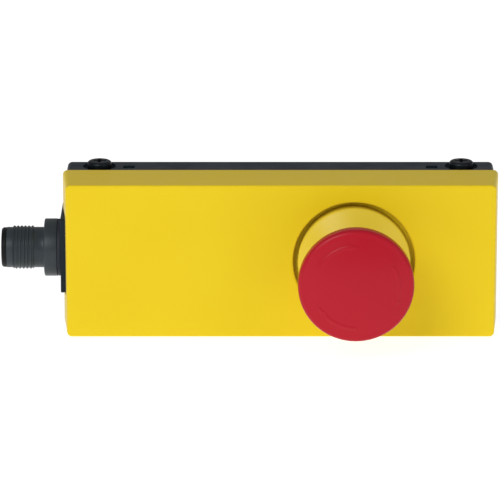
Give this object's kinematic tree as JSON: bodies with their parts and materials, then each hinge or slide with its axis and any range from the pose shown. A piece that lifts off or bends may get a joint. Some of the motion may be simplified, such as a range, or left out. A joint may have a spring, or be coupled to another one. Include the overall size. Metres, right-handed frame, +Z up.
{
  "type": "emergency stop button",
  "caption": "Emergency stop mushroom button in a slim yellow surface-mount housing with a black base and an M12 plug at one end.",
  "frame": {"origin": "centre of the flat back face that lies on the wall", "axes": "+X along the housing away from the plug, +Y into the wall, +Z up; the button faces -Y"},
  "size_m": [0.1368, 0.0525, 0.0449],
  "materials": {
    "yellow_plastic": "fine moulded texture",
    "collar_plastic": "smooth satin",
    "base_plastic": "fine moulded texture",
    "plug_plastic": "satin",
    "insert_plastic": "satin",
    "cap_plastic": "satin gloss",
    "stem_plastic": "satin",
    "contact_plastic": "satin",
    "dark_screw": "black finish",
    "steel": "bright",
    "brass": "bright",
    "rubber": "matt",
    "board": "solder mask",
    "terminal_green": "satin",
    "component_black": "matt",
    "lead_brown": "satin",
    "lead_white": "satin",
    "lead_blue": "satin",
    "lead_black": "satin",
    "lead_grey": "satin",
    "lead_red": "satin",
    "lead_green": "satin"
  },
  "bodies": {
    "housing": {"base_tray": "base_plastic", "front_cover": "yellow_plastic", "cover_gasket": "rubber", "cover_screws": "dark_screw", "screw_inserts": "brass", "connector_shell": "plug_plastic", "connector_insert": "insert_plastic", "connector_pins": "brass", "connector_seal": "rubber", "connector_nut": "steel", "lead_brown": "lead_brown", "lead_white": "lead_white", "lead_blue": "lead_blue", "lead_black": "lead_black", "lead_grey": "lead_grey", "circuit_board": "board", "board_screws": "steel", "plug_terminals": "terminal_green", "switch_terminals": "terminal_green", "terminal_clamps": "steel", "board_components": "component_black", "head_collar": "collar_plastic", "head_seal": "rubber", "lock_nut": "stem_plastic", "stem_seal": "rubber", "return_spring": "steel", "latch_ring": "steel", "contact_block_left": "contact_plastic", "contact_block_right": "contact_plastic", "fixed_contacts": "brass", "contact_screws": "steel", "contact_spring_left": "steel", "contact_spring_right": "steel", "switch_wires_red": "lead_red", "switch_wires_green": "lead_green"},
    "plunger": {"stem": "stem_plastic", "contact_pusher": "contact_plastic", "contact_bridge_left": "brass", "contact_bridge_right": "brass", "cap_clip": "steel"},
    "cap": {"mushroom_cap": "cap_plastic", "twist_spring": "steel"},
    "latch_left": {"latch_pin_left": "steel"},
    "latch_right": {"latch_pin_right": "steel"}
  },
  "joints": [
    {"name": "button_press", "type": "slide", "parent": "housing", "child": "plunger", "axis": [0, 1, 0], "range_m": [0, 0.0045], "stiffness_N_per_m": 4000, "springref_m": -0.002, "deforming": ["return_spring", "contact_spring_left", "contact_spring_right"]},
    {"name": "cap_twist", "type": "hinge", "parent": "plunger", "child": "cap", "pos_m": [0.02, -0.0503, 0], "axis": [0, 1, 0], "range_deg": [0, 45], "stiffness_Nm_per_rad": 0.05, "springref_deg": -17.19, "deforming": ["twist_spring"]},
    {"name": "latch_left_slide", "type": "slide", "parent": "housing", "child": "latch_left", "axis": [1, 0, 0], "range_m": [0, 0.0009]},
    {"name": "latch_right_slide", "type": "slide", "parent": "housing", "child": "latch_right", "axis": [-1, 0, 0], "range_m": [0, 0.0009]}
  ],
  "couplings": [
    {"joint": "latch_left_slide", "follows": "button_press", "ratio": 0.2},
    {"joint": "latch_right_slide", "follows": "button_press", "ratio": 0.2}
  ]
}
